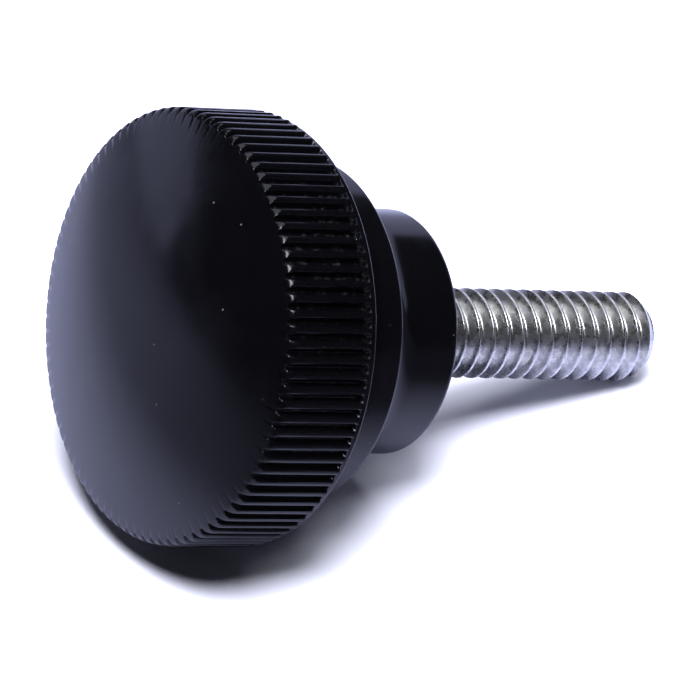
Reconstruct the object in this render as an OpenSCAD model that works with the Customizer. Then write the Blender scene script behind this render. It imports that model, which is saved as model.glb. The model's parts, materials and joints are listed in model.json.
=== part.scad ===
// Knurled hand knob with a threaded stud.
// The knob lies as it comes to rest on a flat surface: on the rear edge of its
// knurl and on the end of its stud. The stud points along +X and down.
// Lengths are in millimetres.

/* [Head] */
// Diameter over the knurl crests
head_d = 30.2; // [26:0.1:40]
// Length of the knurled band, with its rear lip
band_l = 6.6; // [4:0.1:12]
// Height of the domed face above the front of the band
crown_h = 2.9; // [1.5:0.1:5]
// Radius of the edge between the domed face and the band
rim_round = 0.75; // [0.4:0.05:1.2]

/* [Knurl] */
// Number of straight grooves round the band
groove_count = 90; // [60:1:104]
// Depth of a groove below the crests
groove_depth = 0.55; // [0.25:0.05:0.9]
// Width of a groove between two crests
groove_w = 0.65; // [0.4:0.05:0.85]
// Width of the flat bottom of a groove
groove_root_w = 0.15; // [0.05:0.05:0.3]
// Length of the lip that closes the grooves at the rear
lip_l = 0.45; // [0.25:0.05:1.5]
// Step from the crests down to the lip
lip_step = 0.25; // [0.05:0.05:0.5]
// Radius of the lip's rear edge
lip_round = 0.15; // [0.05:0.05:0.35]

/* [Collar and boss] */
// Diameter of the collar behind the band
collar_d = 23.8; // [22:0.1:28]
// Length of the collar
collar_l = 4.4; // [2:0.1:8]
// Radius of the collar's rear edge
collar_round = 0.25; // [0.1:0.05:0.8]
// Diameter of the boss that carries the seat face
boss_d = 17.1; // [13:0.1:19]
// Length of the straight part of the boss
boss_l = 3.7; // [1:0.1:8]
// Radius of the boss's rear edge
boss_round = 0.4; // [0.1:0.05:1]
// Radius of the cove between the collar and the boss
cove_r = 3.5; // [3.2:0.1:5]
// Gap round the stud at its mouth in the seat face
mouth_gap = 0.25; // [0.1:0.05:0.6]
// Depth of that mouth
mouth_depth = 0.6; // [0.2:0.1:1.5]

/* [Stud] */
// Major diameter of the thread (1/4-20)
thread_d = 6.35; // [5:0.05:8]
// Length of the stud that stands out of the seat face
stud_l = 21.8; // [16:0.1:40]
// Length of the bevel at the end of the stud
tip_bevel_l = 1.2; // [0.3:0.05:1.5]
// Radial depth of that bevel
tip_bevel_d = 0.9; // [0.3:0.05:1]
// How much thinner the plain shank inside the head is than the thread
shank_step = 0.4; // [0.2:0.05:0.6]
// Length of the plain shank inside the head
shank_l = 9.95; // [6:0.05:12]

/* [Anchor] */
// Size across the flats of the screw head moulded into the plastic
hex_w = 11.1; // [9:0.1:13]
// Height of that screw head
hex_h = 4; // [3:0.1:5]
// Gap left between the screw and the plastic moulded round it
mould_gap = 0; // [0:0.01:0.1]

/* [Hidden] */

head_r = head_d / 2;
collar_r = collar_d / 2;
boss_r = boss_d / 2;
thread_r = thread_d / 2;
root_r = head_r - groove_depth;
lip_r = head_r - lip_step;
mouth_r = thread_r + mouth_gap;
shank_r = thread_r - shank_step;
tip_r = thread_r - tip_bevel_d;

// Places along the knob's axis, measured from the seat face. The stud points
// to the positive side.
cove_axis_r = boss_r + cove_r;
cove_edge_r = min(collar_r - collar_round, cove_axis_r);
cove_l = sqrt(pow(cove_r, 2) - pow(cove_axis_r - cove_edge_r, 2));
cove_end_z = -boss_l;
collar_end_z = cove_end_z - cove_l;
band_end_z = collar_end_z - collar_l;
lip_start_z = band_end_z - lip_l;
band_start_z = band_end_z - band_l;
apex_z = band_start_z - crown_h;
bevel_start_z = stud_l - tip_bevel_l;

// The domed face is a ball surface that runs smoothly into the rim's radius.
rim_axis_r = head_r - rim_round;
crown_r = (pow(rim_axis_r, 2) + pow(crown_h, 2) - pow(rim_round, 2))
    / (2 * (crown_h - rim_round));
crown_edge_r = crown_r * rim_axis_r / (crown_r - rim_round);

// One groove in section. Its walls run on past the crests by groove_over, so
// that the crests keep the round surface of the blank.
groove_pitch = 360 / groove_count;
groove_over = groove_depth / 6;
groove_flare = (groove_w - groove_root_w) / (2 * groove_depth);
groove_top_w = groove_w + 2 * groove_over * groove_flare;

// Rest pose. Two crests beside the lowest groove touch the surface at the end
// of the knurl, and so does the stud where its bevel starts.
groove_half_angle = asin(groove_w / head_d);
sit_r = head_r * cos(groove_half_angle);
rest_tilt = atan((sit_r - thread_r) / (bevel_start_z - lip_start_z));
seat_height = bevel_start_z * sin(rest_tilt) + thread_r * cos(rest_tilt);
reach_forward = stud_l * cos(rest_tilt) + tip_r * sin(rest_tilt);
reach_back = rim_round + rim_axis_r * sin(rest_tilt) - band_start_z * cos(rest_tilt);
seat_x = (reach_back - reach_forward) / 2;

// Puts a piece made along +Z from the seat face into the rest pose.
module at_rest() {
    translate([seat_x, 0, seat_height])
        rotate([0, 90 + rest_tilt, 0])
            children();
}

// Half section of a disc that runs from the grooves' end back to end_z, and
// whose rear edge has radius edge_r.
module disc_section(r, end_z, edge_r) {
    translate([0, lip_start_z])
        square([r, end_z - lip_start_z - edge_r]);
    translate([0, lip_start_z])
        square([r - edge_r, end_z - lip_start_z]);
    translate([r - edge_r, end_z - edge_r])
        circle(r = edge_r, $fn = 48);
}

// Half section of the domed face and its rounded rim.
module crown_section() {
    intersection() {
        translate([0, apex_z + crown_r])
            circle(r = crown_r, $fn = 720);
        translate([0, apex_z])
            square([crown_edge_r, crown_h]);
    }
    intersection() {
        translate([rim_axis_r, band_start_z])
            circle(r = rim_round, $fn = 96);
        translate([0, apex_z])
            square([head_r, crown_h]);
    }
}

// Half section of the blank that the grooves are cut into.
module blank_section() {
    crown_section();
    translate([0, band_start_z])
        square([head_r, lip_start_z - band_start_z]);
}

// Half section of the cove between the collar and the boss.
module cove_section() {
    difference() {
        translate([0, lip_start_z])
            square([cove_edge_r, cove_end_z - lip_start_z]);
        translate([cove_axis_r, cove_end_z])
            circle(r = cove_r, $fn = 144);
    }
}

// Half section of everything behind the grooves.
module rear_section() {
    disc_section(lip_r, band_end_z, lip_round);
    disc_section(collar_r, collar_end_z, collar_round);
    cove_section();
    disc_section(boss_r, 0, boss_round);
}

// The four corners of one groove in plan, at angle a.
function groove_corners(a) = [
    for (corner = [
        [head_r + groove_over, -groove_top_w / 2],
        [root_r, -groove_root_w / 2],
        [root_r, groove_root_w / 2],
        [head_r + groove_over, groove_top_w / 2]
    ])
        [
            corner[0] * cos(a) - corner[1] * sin(a),
            corner[0] * sin(a) + corner[1] * cos(a)
        ]
];

// Plan of the knurl: one groove faces down in the rest pose.
module knurl_plan() {
    polygon([
        for (i = [0 : groove_count - 1])
            for (corner = groove_corners(i * groove_pitch))
                corner
    ]);
}

module knurled_front() {
    intersection() {
        rotate_extrude($fn = 360)
            blank_section();
        translate([0, 0, apex_z])
            linear_extrude(lip_start_z - apex_z)
                knurl_plan();
    }
}

// Screw head with the bevelled corners of a hexagon bolt, from z = -hex_h to 0.
// Grown by gap, it is the hollow that the head leaves in the plastic.
module hex_anchor(gap) {
    flat_r = hex_w / 2 + gap;
    corner_r = flat_r / cos(30);
    intersection() {
        translate([0, 0, -hex_h - gap])
            cylinder(r = corner_r, h = hex_h + 2 * gap, $fn = 6);
        translate([0, 0, -hex_h - gap])
            cylinder(r1 = flat_r, r2 = flat_r + (hex_h + 2 * gap) / tan(30), h = hex_h + 2 * gap, $fn = 96);
    }
}

module knob_head() {
    color([0.07, 0.07, 0.08])
        at_rest()
            difference() {
                union() {
                    knurled_front();
                    rotate_extrude($fn = 360)
                        rear_section();
                }
                translate([0, 0, -shank_l])
                    hex_anchor(mould_gap);
                translate([0, 0, -shank_l - hex_h / 2])
                    cylinder(r = shank_r + mould_gap, h = shank_l + hex_h, $fn = 96);
                translate([0, 0, -mouth_depth])
                    cylinder(r = mouth_r, h = 2 * mouth_depth, $fn = 96);
            }
}

module threaded_stud() {
    color([0.74, 0.75, 0.78])
        at_rest() {
            translate([0, 0, -shank_l])
                hex_anchor(0);
            translate([0, 0, -shank_l - hex_h / 2])
                cylinder(r = shank_r, h = shank_l + hex_h / 2, $fn = 96);
            cylinder(r = thread_r, h = bevel_start_z, $fn = 96);
            translate([0, 0, bevel_start_z])
                cylinder(r1 = thread_r, r2 = tip_r, h = tip_bevel_l, $fn = 96);
        }
}

knob_head();
threaded_stud();
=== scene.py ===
# %% [markdown]
# # A knurled hand knob with a threaded stud
#
# The knob is one black plastic moulding: a domed face, a rim with ninety
# straight grooves for the fingers, a collar and a boss. A zinc-plated screw is
# moulded into it, so that only the screw's threaded stud shows. The knob lies
# where it was put down: on the rear edge of its knurl and the end of its stud.
#
# The CAD model gives the sizes and the place. This lesson loads it as a frame,
# models the two visible pieces in more detail, and gives them their finishes.

# %% Load the frame
import json
import math

import bmesh
import bpy
from mathutils import Matrix, Quaternion, Vector


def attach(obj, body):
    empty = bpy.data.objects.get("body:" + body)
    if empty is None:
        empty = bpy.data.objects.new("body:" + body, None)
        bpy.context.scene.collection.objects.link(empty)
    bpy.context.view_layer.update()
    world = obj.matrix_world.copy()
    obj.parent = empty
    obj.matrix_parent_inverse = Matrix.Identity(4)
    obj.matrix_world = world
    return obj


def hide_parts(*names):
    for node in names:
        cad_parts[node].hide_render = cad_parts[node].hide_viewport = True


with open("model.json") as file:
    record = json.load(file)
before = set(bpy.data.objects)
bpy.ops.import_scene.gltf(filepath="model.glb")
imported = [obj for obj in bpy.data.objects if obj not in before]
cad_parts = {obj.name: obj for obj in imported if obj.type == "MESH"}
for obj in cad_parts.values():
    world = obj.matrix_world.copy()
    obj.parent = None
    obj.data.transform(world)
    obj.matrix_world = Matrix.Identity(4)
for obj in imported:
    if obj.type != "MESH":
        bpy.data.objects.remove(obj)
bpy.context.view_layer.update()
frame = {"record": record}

# %% [markdown]
# ## Where the knob lies
#
# A turned shape is easiest to model upright, with its axis on Z. The record
# states the stud as a mount: a point at the middle of the seat face, and the
# direction in which the stud points away from it. So both pieces are modelled
# in millimetres with the seat face at z = 0 and the stud upwards. One matrix
# then lays them down where the CAD model lies.

# %% Read the place from the record
mounts = {mount["name"]: mount for mount in frame["record"]["mounts"]}
seat = Vector(mounts["stud"]["pos_m"])
stud_axis = Vector(mounts["stud"]["axis"])
rest_turn = math.pi / 2 + math.atan2(-stud_axis.z, stud_axis.x)
lay_down = (
    Matrix.Translation(seat)
    @ Matrix.Rotation(rest_turn, 4, "Y")
    @ Matrix.Diagonal((0.001, 0.001, 0.001, 1))
)
print("The axis leans", round(math.degrees(rest_turn) - 90, 2), "degrees down")


# %% Helpers for working by hand
def deselect_all():
    """Leaves edit mode with nothing selected, so that a tool acts on one piece."""
    if bpy.context.object and bpy.context.object.mode == "EDIT":
        bpy.ops.object.mode_set(mode="OBJECT")
    bpy.ops.object.select_all(action="DESELECT")


def work_on(piece):
    """Makes one object the only selected and active one."""
    deselect_all()
    piece.select_set(True)
    bpy.context.view_layer.objects.active = piece


def new_point(name, place):
    """A new mesh object that holds one point, ready to be extruded."""
    deselect_all()
    bpy.ops.mesh.primitive_plane_add(size=1)
    piece = bpy.context.object
    piece.name = piece.data.name = name
    bpy.ops.object.mode_set(mode="EDIT")
    bpy.ops.mesh.merge(type="CENTER")
    bpy.ops.transform.translate(value=place)
    return piece


def draw_profile(name, places):
    """Extrudes a point from place to place, as a pen draws a line in the X-Z plane."""
    places = [Vector((r, 0, z)) for r, z in places]
    piece = new_point(name, places[0])
    for start, end in zip(places, places[1:]):
        bpy.ops.mesh.extrude_region_move(TRANSFORM_OT_translate={"value": end - start})
    return piece


def choose(piece, wanted):
    """Selects the vertices whose places pass the test, in edit mode."""
    shape = bmesh.from_edit_mesh(piece.data)
    chosen = 0
    for vertex in shape.verts:
        vertex.select = bool(wanted(vertex.co))
        chosen += vertex.select
    shape.select_flush_mode()
    bmesh.update_edit_mesh(piece.data, loop_triangles=False, destructive=False)
    return chosen


def finish_piece(piece, node, material, sharp_angle=35):
    """Lays a piece down in its place, and ties it to the frame."""
    work_on(piece)
    piece.matrix_world = lay_down
    bpy.ops.object.transform_apply(location=True, rotation=True, scale=True)
    bpy.ops.object.shade_smooth_by_angle(angle=math.radians(sharp_angle))
    piece.data.materials.clear()
    piece.data.materials.append(material)
    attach(piece, "root")
    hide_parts(node)
    deselect_all()
    print(piece.name, "has", len(piece.data.polygons), "faces")


# %% [markdown]
# ## The outline of the head
#
# Seen in section, the head is a chain of straight lines and arcs: the mouth
# round the stud, the seat face, the boss, the cove, the collar, the lip behind
# the grooves, the band, the rounded rim and the domed face. The sizes below
# are the CAD model's own, in millimetres. Each arc gets a few points, and each
# straight stretch gets a point just beside the arc, which keeps the shading
# flat there.

# %% Sizes of the head
head_r = 15.1
lip_r = 14.85
collar_r = 11.9
boss_r = 8.55
mouth_r = 3.425
mouth_depth = 0.6
boss_l = 3.7
boss_round = 0.4
cove_r = 3.5
collar_round = 0.25
collar_l = 4.4
fillet_r = 0.12
lip_l = 0.45
lip_round = 0.15
band_l = 6.6
rim_round = 0.75
crown_h = 2.9

cove_axis_r = boss_r + cove_r
cove_edge_r = collar_r - collar_round
cove_l = math.sqrt(cove_r**2 - (cove_axis_r - cove_edge_r) ** 2)
collar_end_z = -boss_l - cove_l
band_end_z = collar_end_z - collar_l
lip_start_z = band_end_z - lip_l
band_start_z = band_end_z - band_l
apex_z = band_start_z - crown_h
rim_axis_r = head_r - rim_round
crown_r = (rim_axis_r**2 + crown_h**2 - rim_round**2) / (2 * (crown_h - rim_round))
crown_edge_angle = math.asin(rim_axis_r / (crown_r - rim_round))
print("The domed face is part of a ball of", round(crown_r, 1), "mm radius")


# %% Draw the outline
def arc(centre_r, centre_z, radius, start, end, steps):
    """Points along an arc in the section, with the angles in degrees."""
    turns = [math.radians(start + (end - start) * i / steps) for i in range(steps + 1)]
    return [
        (centre_r + radius * math.cos(t), centre_z + radius * math.sin(t)) for t in turns
    ]


cove_end_angle = 180 + math.degrees(math.acos((cove_axis_r - cove_edge_r) / cove_r))
rim_end_angle = math.degrees(crown_edge_angle) - 90
dome_angles = [crown_edge_angle * (1 - i / 15) for i in range(16)]

mouth_rows = [(0, -mouth_depth), (3.3, -mouth_depth), (mouth_r, -mouth_depth + 0.02)]
mouth_rows += [(mouth_r, -0.1), (mouth_r + 0.02, -0.03), (mouth_r + 0.08, 0)]
boss_rows = [(mouth_r + 0.2, 0), (boss_r - boss_round - 0.1, 0)]
boss_rows += arc(boss_r - boss_round, -boss_round, boss_round, 90, 0, 5)
boss_rows += [(boss_r, -boss_round - 0.1), (boss_r, -boss_l + 0.15)]
cove_rows = arc(cove_axis_r, -boss_l, cove_r, 180, cove_end_angle, 12)
collar_rows = arc(cove_edge_r, collar_end_z - collar_round, collar_round, 90, 0, 4)
collar_rows += [(collar_r, collar_end_z - collar_round - 0.1)]
collar_rows += [(collar_r, band_end_z + fillet_r + 0.1)]
lip_rows = arc(collar_r + fillet_r, band_end_z + fillet_r, fillet_r, 180, 270, 3)
lip_rows += [(collar_r + fillet_r + 0.1, band_end_z)]
lip_rows += [(lip_r - lip_round - 0.1, band_end_z)]
lip_rows += arc(lip_r - lip_round, band_end_z - lip_round, lip_round, 90, 0, 4)
lip_rows += [(lip_r, lip_start_z + 0.1), (lip_r, lip_start_z)]
runout_steps = [0.04, 0.08, 0.13, 0.19, 0.26, 0.35]
band_rows = [(head_r, lip_start_z - step) for step in runout_steps]
band_rows += [(head_r, lip_start_z - 0.5), (head_r, -15), (head_r, band_start_z + 0.15)]
rim_rows = arc(rim_axis_r, band_start_z, rim_round, 0, rim_end_angle, 12)
dome_rows = [
    (crown_r * math.sin(a), apex_z + crown_r * (1 - math.cos(a))) for a in dome_angles[1:]
]
outline = mouth_rows + boss_rows + cove_rows + collar_rows + lip_rows
outline += band_rows + rim_rows + dome_rows

head = draw_profile("knob_moulding", outline)
print("The outline has", len(outline), "points")

# %% [markdown]
# ## One groove, then ninety
#
# The knurl on a moulded knob is cut into the mould, so all the grooves are the
# same, with soft bottoms and rounded ends. Cutting ninety grooves with a
# Boolean would leave long thin faces that shade badly. Instead, the outline is
# spun through four degrees, just one groove's share of the turn. In that slice
# the columns of vertices near the middle are pushed in towards the axis, like
# pressing a thumbnail into clay. Then the slice is spun round ninety times.

# %% Spin one slice
groove_count = 90
columns = 12
slice_angle = math.radians(360 / groove_count)
groove_depths = [0.52, 0.5, 0.33, 0.14, 0.03, 0.005]
runout_l = 0.36
lip_rise_l = 0.14
merge_distance = 0.0008

work_on(head)
bpy.ops.object.mode_set(mode="EDIT")
bpy.ops.mesh.select_all(action="SELECT")
bpy.ops.mesh.spin(
    steps=columns, angle=slice_angle, center=(0, 0, 0), axis=(0, 0, 1)
)
shape = bmesh.from_edit_mesh(head.data)
turns = [math.atan2(v.co.y, v.co.x) for v in shape.verts if v.co.xy.length > 1]
slice_middle = (min(turns) + max(turns)) / 2
print("The slice's middle is at", round(math.degrees(slice_middle), 2), "degrees")


# %% Press the groove into the slice
def softer_min(a, b, blend=0.03):
    """The smaller of two radii, with the corner between them rounded off."""
    return -blend * math.log(math.exp(-a / blend) + math.exp(-b / blend))


def smooth_step(t):
    """Runs from 0 to 1 with a gentle start and end."""
    t = min(max(t, 0), 1)
    return t * t * (3 - 2 * t)


def groove_radius(r, z, depth):
    """Where a column that is this deep in the groove belongs, at a place on the outline."""
    if z > lip_start_z - runout_l:
        rise = smooth_step((lip_start_z - z) / lip_rise_l)
        fall = smooth_step((lip_start_z - z) / runout_l)
        return lip_r + (head_r - lip_r) * rise - depth * fall
    if z < band_start_z + 0.02:
        return softer_min(r, head_r - depth) if depth > 0.01 else r - depth * 0.5
    return r - depth


def column_of(place):
    """How many columns a vertex stands from the middle of the groove."""
    turn = math.atan2(place.y, place.x) - slice_middle
    return abs(round(turn / slice_angle * columns))


rows_to_press = sorted({(r, z) for r, z in band_rows + rim_rows})
pressed = 0
for column, depth in enumerate(groove_depths + [0]):
    for r, z in rows_to_press:
        scale = groove_radius(r, z, depth) / r
        found = choose(
            head,
            lambda place: abs(place.z - z) < 0.004
            and abs(place.xy.length - r) < 0.004
            and column_of(place) == column,
        )
        if found and abs(scale - 1) > 1e-5:
            bpy.ops.transform.resize(value=(scale, scale, 1), center_override=(0, 0, 0))
            pressed += found
print("Pressed", pressed, "vertices of the slice")

# %% Spin the slice round and close the shape
bpy.ops.mesh.select_all(action="SELECT")
bpy.ops.mesh.spin(
    steps=groove_count - 1,
    angle=2 * math.pi - slice_angle,
    center=(0, 0, 0),
    axis=(0, 0, 1),
    dupli=True,
)
bpy.ops.mesh.select_all(action="SELECT")
bpy.ops.mesh.remove_doubles(threshold=merge_distance)
bpy.ops.mesh.normals_make_consistent(inside=False)
bpy.ops.transform.rotate(
    value=slice_middle, orient_axis="Z", center_override=(0, 0, 0)
)
bpy.ops.object.mode_set(mode="OBJECT")
print("The head has", len(head.data.vertices), "vertices")

# %% [markdown]
# ## The thread
#
# The stud carries a standard quarter-inch thread with twenty turns to the inch,
# rolled into the metal. Its flanks meet at sixty degrees, its crests are narrow
# flats and its roots are round. The Screw modifier sweeps one turn's outline
# along a helix, so every turn is a true thread and not a stack of rings.

# %% Sizes of the stud
thread_r = mounts["stud"]["dims"]["r_mm"]
pitch = 1.27
stud_l = 21.8
tip_bevel_l = 1.2
tip_r = 2.275
thread_phase = -0.6
half_turn = [(0, 0), (0.045, 0.003), (0.08, 0.017), (0.11, 0.057), (0.2275, 0.26)]
half_turn += [(0.345, 0.463), (0.46, 0.663), (0.51, 0.72), (0.57, 0.738), (0.635, 0.743)]

# %% Sweep the thread
start_z = -mouth_depth - 2.2 * pitch + thread_phase
crest_to_root = [(thread_r - depth, start_z + z) for z, depth in half_turn]
root_to_crest = [(thread_r - depth, start_z + pitch - z) for z, depth in half_turn]
stud = draw_profile("threaded_stud_steel", crest_to_root + root_to_crest[-2::-1])
bpy.ops.object.mode_set(mode="OBJECT")
work_on(stud)
sweep = stud.modifiers.new("thread", "SCREW")
sweep.axis = "Z"
sweep.angle = 2 * math.pi
sweep.screw_offset = pitch
sweep.iterations = 22
sweep.steps = sweep.render_steps = 96
sweep.use_merge_vertices = False
bpy.ops.object.modifier_apply(modifier=sweep.name)
print("The thread has", len(stud.data.polygons), "faces")

# %% Cut the thread to length
bpy.ops.object.mode_set(mode="EDIT")
bpy.ops.mesh.select_all(action="SELECT")
bpy.ops.mesh.remove_doubles(threshold=merge_distance)
for cut_z, side in ((-mouth_depth, -1), (stud_l + 0.3, 1)):
    bpy.ops.mesh.select_all(action="SELECT")
    bpy.ops.mesh.bisect(
        plane_co=(0, 0, cut_z), plane_no=(0, 0, side), clear_outer=True, use_fill=True
    )
bpy.ops.mesh.select_all(action="SELECT")
bpy.ops.mesh.normals_make_consistent(inside=False)
bpy.ops.object.mode_set(mode="OBJECT")

# %% Turn a blank with a bevelled tip, and keep what both share
deselect_all()
blank_r = thread_r + 0.02
bevel_start = stud_l - tip_bevel_l * (blank_r - tip_r) / (thread_r - tip_r)
bpy.ops.mesh.primitive_cylinder_add(
    vertices=96,
    radius=blank_r,
    depth=bevel_start + 3,
    location=(0, 0, bevel_start / 2 - 1.5),
)
blank = bpy.context.object
bpy.ops.object.transform_apply(location=True)
bpy.ops.object.mode_set(mode="EDIT")
choose(blank, lambda place: place.z > bevel_start - 0.01)
bpy.ops.mesh.extrude_region_move(
    TRANSFORM_OT_translate={"value": (0, 0, stud_l - bevel_start)}
)
bpy.ops.transform.resize(
    value=(tip_r / blank_r, tip_r / blank_r, 1), center_override=(0, 0, 0)
)
bpy.ops.mesh.bevel(offset=0.18, segments=3, affect="EDGES")
bpy.ops.object.mode_set(mode="OBJECT")
work_on(stud)
trim = stud.modifiers.new("tip", "BOOLEAN")
trim.operation = "INTERSECT"
trim.object = blank
trim.solver = "EXACT"
bpy.ops.object.modifier_apply(modifier=trim.name)
bpy.data.objects.remove(blank)
print("The stud reaches z =", round(max(v.co.z for v in stud.data.vertices), 3), "mm")


# %% [markdown]
# ## Finishes
#
# Both finishes need to know where they are on the knob: how far along its axis
# and how far out. A node group works that out from the Object coordinates, by
# undoing the matrix that laid the knob down.

# %% Build node trees in few words
def add_node(tree, kind, inputs=None, **settings):
    """Adds a node, sets its properties, and links or sets its inputs."""
    node = tree.nodes.new(kind)
    for key, value in settings.items():
        setattr(node, key, value)
    for key, value in (inputs or {}).items():
        if isinstance(value, bpy.types.NodeSocket):
            tree.links.new(value, node.inputs[key])
        else:
            node.inputs[key].default_value = value
    return node


def do_math(tree, operation, *values):
    """A Math node, and its result."""
    node = add_node(tree, "ShaderNodeMath", dict(enumerate(values)), operation=operation)
    return node.outputs[0]


def mix_colours(tree, factor, first, second):
    """Goes from the first colour to the second as the factor goes from 0 to 1."""
    node = add_node(
        tree, "ShaderNodeMix", {0: factor, 6: first, 7: second}, data_type="RGBA"
    )
    return node.outputs[2]


def ramp(tree, value, low, high, to_low=0.0, to_high=1.0):
    """Maps a value smoothly from one range to another."""
    node = add_node(
        tree,
        "ShaderNodeMapRange",
        {0: value, 1: low, 2: high, 3: to_low, 4: to_high},
        interpolation_type="SMOOTHSTEP",
    )
    return node.outputs[0]


def new_group(name, inputs, outputs):
    """A shader node group with named sockets, and its two end nodes."""
    group = bpy.data.node_groups.new(name, "ShaderNodeTree")
    for socket, kind in inputs.items():
        group.interface.new_socket(socket, in_out="INPUT", socket_type=kind)
    for socket, kind in outputs.items():
        group.interface.new_socket(socket, in_out="OUTPUT", socket_type=kind)
    return group, group.nodes.new("NodeGroupInput"), group.nodes.new("NodeGroupOutput")


FLOAT = "NodeSocketFloat"
VECTOR = "NodeSocketVector"

# %% Where a point is on the knob
place_group, _, place_out = new_group(
    "place_on_knob", {}, {"Place": VECTOR, "Along": FLOAT, "Out": FLOAT, "Wrapped": VECTOR}
)
coords = add_node(place_group, "ShaderNodeTexCoord")
upright = add_node(
    place_group,
    "ShaderNodeMapping",
    {
        "Vector": coords.outputs["Object"],
        "Location": seat,
        "Rotation": (0, rest_turn, 0),
        "Scale": (0.001, 0.001, 0.001),
    },
    vector_type="TEXTURE",
)
parts = add_node(place_group, "ShaderNodeSeparateXYZ", {0: upright.outputs[0]})
x, y, z = parts.outputs
x_squared = do_math(place_group, "MULTIPLY", x, x)
y_squared = do_math(place_group, "MULTIPLY", y, y)
out = do_math(place_group, "SQRT", do_math(place_group, "ADD", x_squared, y_squared))
turn = do_math(place_group, "ARCTAN2", y, x)
wrapped = add_node(
    place_group, "ShaderNodeCombineXYZ", {0: do_math(place_group, "MULTIPLY", turn, out), 1: z}
)
for socket, value in (
    ("Place", upright.outputs[0]), ("Along", z), ("Out", out), ("Wrapped", wrapped.outputs[0])
):
    place_group.links.new(value, place_out.inputs[socket])

# %% [markdown]
# Dust is on everything that has lain about. Fine lint and specks sit where they
# fell. One group makes the specks for both finishes. A Voronoi pattern gives
# each cell a random colour, and only the cells with a high one keep their speck.

# %% Specks of dust
dust_group, dust_in, dust_out = new_group(
    "dust_specks",
    {"Place": VECTOR, "Cells": FLOAT, "Share": FLOAT, "Size": FLOAT},
    {"Mask": FLOAT},
)
cells = add_node(
    dust_group,
    "ShaderNodeTexVoronoi",
    {"Vector": dust_in.outputs["Place"], "Scale": dust_in.outputs["Cells"]},
    voronoi_dimensions="2D",
)
luck = add_node(dust_group, "ShaderNodeSeparateColor", {0: cells.outputs["Color"]})
size = do_math(dust_group, "MULTIPLY", luck.outputs[1], dust_in.outputs["Size"])
wobble = add_node(
    dust_group, "ShaderNodeTexNoise", {"Vector": dust_in.outputs["Place"], "Scale": 9.0}
)
edge = do_math(
    dust_group, "MULTIPLY_ADD", wobble.outputs["Fac"], 0.12, cells.outputs["Distance"]
)
near = do_math(dust_group, "LESS_THAN", edge, do_math(dust_group, "ADD", size, 0.06))
kept = do_math(dust_group, "LESS_THAN", luck.outputs[0], dust_in.outputs["Share"])
dust_group.links.new(do_math(dust_group, "MULTIPLY", near, kept), dust_out.inputs["Mask"])
print("Made", len(bpy.data.node_groups), "node groups")


# %% [markdown]
# ## Black plastic
#
# The head is a glossy black thermoset. Its colour is nearly black, so all that
# shows is what it reflects. Small changes in roughness and a very low waviness
# are what make it look moulded and handled, with pale dust in the grooves.

# %% The plastic's material
def new_material(name):
    """A material with nodes, its tree and its Principled shader."""
    material = bpy.data.materials.new(name)
    material.use_nodes = True
    return material, material.node_tree, material.node_tree.nodes["Principled BSDF"]


def use_group(tree, group, inputs=None):
    """A group node in a tree."""
    return add_node(tree, "ShaderNodeGroup", inputs, node_tree=group)


plastic, tree, shader = new_material("black_moulded_plastic")
place = use_group(tree, place_group)
fog = add_node(
    tree, "ShaderNodeTexNoise", {"Vector": place.outputs["Place"], "Scale": 0.35, "Detail": 4.0}
)
wear = add_node(
    tree, "ShaderNodeTexNoise", {"Vector": place.outputs["Place"], "Scale": 2.2, "Detail": 6.0}
)
peel = add_node(
    tree, "ShaderNodeTexNoise", {"Vector": place.outputs["Place"], "Scale": 7.0, "Detail": 3.0}
)
swell = add_node(
    tree, "ShaderNodeTexNoise", {"Vector": place.outputs["Place"], "Scale": 0.22, "Detail": 2.0}
)
face_specks = use_group(
    tree, dust_group,
    {"Place": place.outputs["Place"], "Cells": 0.55, "Share": 0.12, "Size": 0.02},
)
side_specks = use_group(
    tree, dust_group,
    {"Place": place.outputs["Wrapped"], "Cells": 0.8, "Share": 0.05, "Size": 0.02},
)
on_face = do_math(tree, "LESS_THAN", place.outputs["Along"], band_start_z - 0.4)
specks = do_math(
    tree, "ADD",
    do_math(tree, "MULTIPLY", face_specks.outputs[0], on_face),
    do_math(tree, "MULTIPLY", side_specks.outputs[0], do_math(tree, "SUBTRACT", 1.0, on_face)),
)
in_band = do_math(
    tree, "MULTIPLY",
    ramp(tree, place.outputs["Along"], lip_start_z + 0.1, lip_start_z - 0.1),
    ramp(tree, place.outputs["Along"], band_start_z - 0.6, band_start_z - 0.2),
)
in_groove = ramp(tree, place.outputs["Out"], head_r - 0.3, head_r - 0.5)
groove_dust = do_math(
    tree, "MULTIPLY",
    do_math(tree, "MULTIPLY", in_groove, in_band),
    ramp(tree, wear.outputs["Fac"], 0.5, 0.75, 0.0, 0.08),
)
dust = do_math(tree, "MINIMUM", do_math(tree, "ADD", specks, groove_dust), 1.0)
near_black = (0.0012, 0.0012, 0.0015, 1)
dust_grey = (0.2, 0.2, 0.2, 1)
colour = mix_colours(tree, dust, near_black, dust_grey)
tree.links.new(colour, shader.inputs["Base Color"])
roughness = do_math(
    tree, "ADD",
    ramp(tree, fog.outputs["Fac"], 0.35, 0.65, 0.14, 0.2),
    do_math(tree, "MULTIPLY", dust, 0.6),
)
tree.links.new(roughness, shader.inputs["Roughness"])
waves = add_node(
    tree, "ShaderNodeBump",
    {"Strength": 0.3, "Distance": 0.00002, "Height": swell.outputs["Fac"]},
)
peel_bump = add_node(
    tree, "ShaderNodeBump",
    {"Strength": 0.25, "Distance": 0.000004, "Height": peel.outputs["Fac"],
     "Normal": waves.outputs[0]},
)
speck_bump = add_node(
    tree, "ShaderNodeBump",
    {"Strength": 0.5, "Distance": 0.00003, "Height": dust, "Normal": peel_bump.outputs[0]},
)
tree.links.new(speck_bump.outputs[0], shader.inputs["Normal"])
shader.inputs["IOR"].default_value = 1.5
finish_piece(head, "knob_head", plastic)

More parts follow.
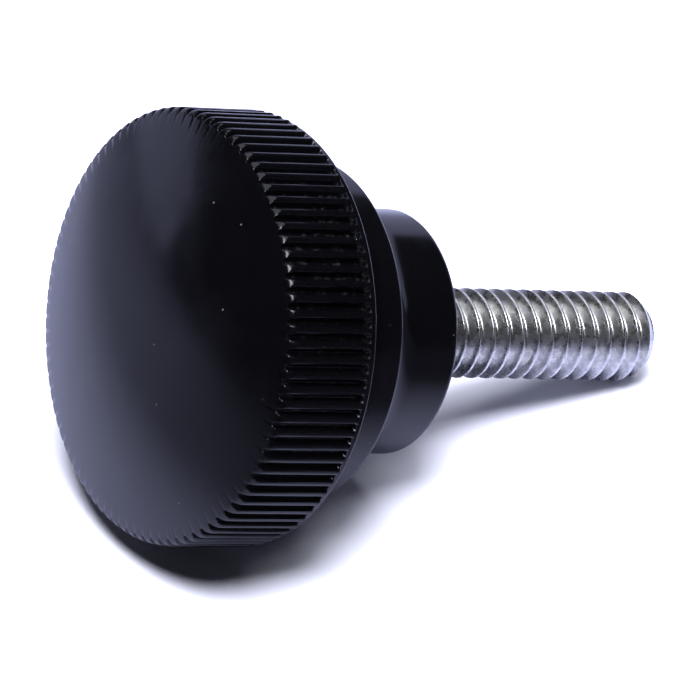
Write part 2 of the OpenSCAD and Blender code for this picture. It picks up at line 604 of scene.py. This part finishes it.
# %% [markdown]
# ## Plated steel
#
# Zinc plating is a soft grey metal, a little rough. Rolling leaves marks that
# run along the thread, and the plating is duller in patches.

# %% The steel's material
steel, tree, shader = new_material("zinc_plated_steel")
place = use_group(tree, place_group)
grain = add_node(
    tree, "ShaderNodeTexNoise", {"Vector": place.outputs["Place"], "Scale": 6.0, "Detail": 6.0}
)
mottle = add_node(
    tree, "ShaderNodeTexNoise", {"Vector": place.outputs["Place"], "Scale": 2.0, "Detail": 3.0}
)
marks = add_node(
    tree, "ShaderNodeMapping",
    {"Vector": place.outputs["Wrapped"], "Scale": (0.6, 14.0, 1.0)}, vector_type="POINT",
)
lines = add_node(
    tree, "ShaderNodeTexNoise", {"Vector": marks.outputs[0], "Scale": 1.0, "Detail": 3.0}
)
clean_zinc = (0.82, 0.81, 0.75, 1)
dull_zinc = (0.6, 0.605, 0.6, 1)
dulled = ramp(tree, mottle.outputs["Fac"], 0.4, 0.7)
colour = mix_colours(tree, dulled, clean_zinc, dull_zinc)
tree.links.new(colour, shader.inputs["Base Color"])
shader.inputs["Metallic"].default_value = 1.0
tree.links.new(
    ramp(tree, mottle.outputs["Fac"], 0.35, 0.7, 0.24, 0.38), shader.inputs["Roughness"]
)
line_bump = add_node(
    tree, "ShaderNodeBump",
    {"Strength": 0.4, "Distance": 0.00001, "Height": lines.outputs["Fac"]},
)
grain_bump = add_node(
    tree, "ShaderNodeBump",
    {"Strength": 0.4, "Distance": 0.00001, "Height": grain.outputs["Fac"],
     "Normal": line_bump.outputs[0]},
)
tree.links.new(grain_bump.outputs[0], shader.inputs["Normal"])
finish_piece(stud, "threaded_stud", steel)

# %% [markdown]
# ## Floor, light and camera
#
# The knob lies on a white table in a dark room. Gloss black shows only what it
# reflects, so the light on the table and the light in the reflections are set
# apart. Two soft lamps light the table and make the shadows, and no reflection
# shows them. Two more show only in reflections. A glowing backdrop behind the
# knob, which the camera doesn't see, gives the steel and the rear of the boss
# something pale to reflect.
#
# The table itself is also two things at once. The camera sees it white, but in
# reflections its colour is a painted reflection. It is darker, a little blue, and
# darkest in front of the knob, where painted shade stands in for the room's
# shadow. The Light Path node tells the two apart, and the pattern stays put on the table.

# %% The table
deselect_all()
bpy.ops.mesh.primitive_plane_add(size=3, location=(0, 0, 0))
table = bpy.context.object
table.name = "table_top"
table_white_painted_reflection, tree, shader = new_material("table_white_painted_reflection")
on_table = add_node(tree, "ShaderNodeTexCoord").outputs["Object"]
spot = add_node(tree, "ShaderNodeSeparateXYZ", {0: on_table})
far_back = add_node(
    tree, "ShaderNodeVectorMath", {0: on_table, 1: (0.447, 0.894, 0)}, operation="DOT_PRODUCT"
)
in_front = add_node(
    tree, "ShaderNodeVectorMath", {0: on_table, 1: (-0.3, 0.95, 0)}, operation="DOT_PRODUCT"
)
# Painted light and painted shade for reflected rays: brighter to the left and further back, a
# little blue.
painted_light_on_left = ramp(tree, spot.outputs["X"], -0.06, -0.025, 0.0, 0.64)
painted_light_to_back = ramp(tree, far_back.outputs["Value"], -0.054, 0.045, 0.12, 0.48)
painted_reflection_light = do_math(tree, "ADD", painted_light_to_back, painted_light_on_left)
# Painted shade: in reflections the table is darkest in front of the knob.
behind = ramp(tree, in_front.outputs["Value"], -0.034, -0.008, 0.08, 1.0)
painted_reflection_level = do_math(tree, "MULTIPLY", painted_reflection_light, behind)
painted_reflection_tint = (0.37, 0.38, 0.48)
painted_reflection_colour = add_node(
    tree,
    "ShaderNodeCombineColor",
    {i: do_math(tree, "MULTIPLY", painted_reflection_level, part) for i, part in enumerate(painted_reflection_tint)},
)
# Only reflected rays see the painted reflection colour; the camera sees plain white.
mirrored = add_node(tree, "ShaderNodeLightPath").outputs["Is Glossy Ray"]
level = mix_colours(tree, mirrored, (0.9, 0.9, 0.9, 1), painted_reflection_colour.outputs[0])
tree.links.new(level, shader.inputs["Base Color"])
shader.inputs["Roughness"].default_value = 0.9
shader.inputs["Specular IOR Level"].default_value = 0.0
table.data.materials.append(table_white_painted_reflection)

# %% The lamps
def add_lamp(name, place, size, energy, colour):
    """A round soft lamp that points at the knob."""
    deselect_all()
    bpy.ops.object.light_add(type="AREA", location=place)
    lamp = bpy.context.object
    lamp.name = name
    lamp.data.shape = "DISK"
    lamp.data.size = size
    lamp.data.energy = energy
    lamp.data.color = colour
    lamp.rotation_mode = "QUATERNION"
    lamp.rotation_quaternion = (Vector((0, 0, 0.01)) - Vector(place)).to_track_quat("-Z", "Y")
    return lamp


main_lamp = add_lamp("main_lamp", (-0.115, -0.17, 0.555), 0.3, 7.2, (0.8, 0.82, 1.0))
top_lamp = add_lamp("top_lamp", (0.02, -0.06, 0.6), 0.6, 6.0, (0.8, 0.82, 1.0))
main_lamp.visible_glossy = top_lamp.visible_glossy = False
shine = add_lamp("shine_lamp", (-0.17, -0.25, 0.52), 0.3, 2.2, (0.86, 0.88, 1.0))
sheen = add_lamp("sheen_lamp", (0.05, 0.12, 0.6), 0.8, 2.1, (0.84, 0.87, 1.0))
shine.visible_diffuse = sheen.visible_diffuse = False

# %% The backdrop
deselect_all()
bpy.ops.mesh.primitive_plane_add(size=1, location=(0.175, 0.303, 0.0875))
backdrop = bpy.context.object
backdrop.name = "backdrop"
backdrop.scale = (2.4, 0.175, 1)
backdrop.rotation_euler = (math.pi / 2, 0, math.radians(-30))
paper, tree, shader = new_material("backdrop_paper")
shader.inputs["Base Color"].default_value = (0, 0, 0, 1)
shader.inputs["Specular IOR Level"].default_value = 0.0
shader.inputs["Emission Color"].default_value = (0.58, 0.6, 0.93, 1)
shader.inputs["Emission Strength"].default_value = 1.0
backdrop.data.materials.append(paper)
backdrop.visible_camera = False
backdrop.visible_shadow = False

# %% The room
room = bpy.data.worlds.new("room")
bpy.context.scene.world = room
room.use_nodes = True
tree = room.node_tree
tree.nodes.clear()
seen = add_node(tree, "ShaderNodeLightPath")
pale = add_node(tree, "ShaderNodeBackground", {"Color": (1, 1, 1, 1), "Strength": 1.0})
dark = add_node(tree, "ShaderNodeBackground", {"Color": (0.9, 0.95, 1, 1), "Strength": 0.012})
choice = add_node(
    tree,
    "ShaderNodeMixShader",
    {0: seen.outputs["Is Camera Ray"], 1: dark.outputs[0], 2: pale.outputs[0]},
)
add_node(tree, "ShaderNodeOutputWorld", {"Surface": choice.outputs[0]})
bpy.context.scene.view_settings.view_transform = "Standard"

# %% The camera
deselect_all()
camera_place = Vector((-0.263057, -0.449979, 0.36278))
camera_aim = Vector((-0.006256, -0.006893, 0.01491))
camera_roll = math.radians(-0.21)
bpy.ops.object.camera_add(location=camera_place)
camera = bpy.context.object
camera.data.lens = 464.06
camera.data.sensor_width = 36
camera.data.clip_start = 0.05
camera.rotation_mode = "QUATERNION"
camera.rotation_quaternion = (camera_aim - camera_place).to_track_quat("-Z", "Y")
camera.rotation_quaternion @= Quaternion((0, 0, 1), camera_roll)
bpy.context.scene.camera = camera
print("The camera stands", round((camera_aim - camera_place).length, 3), "m away")
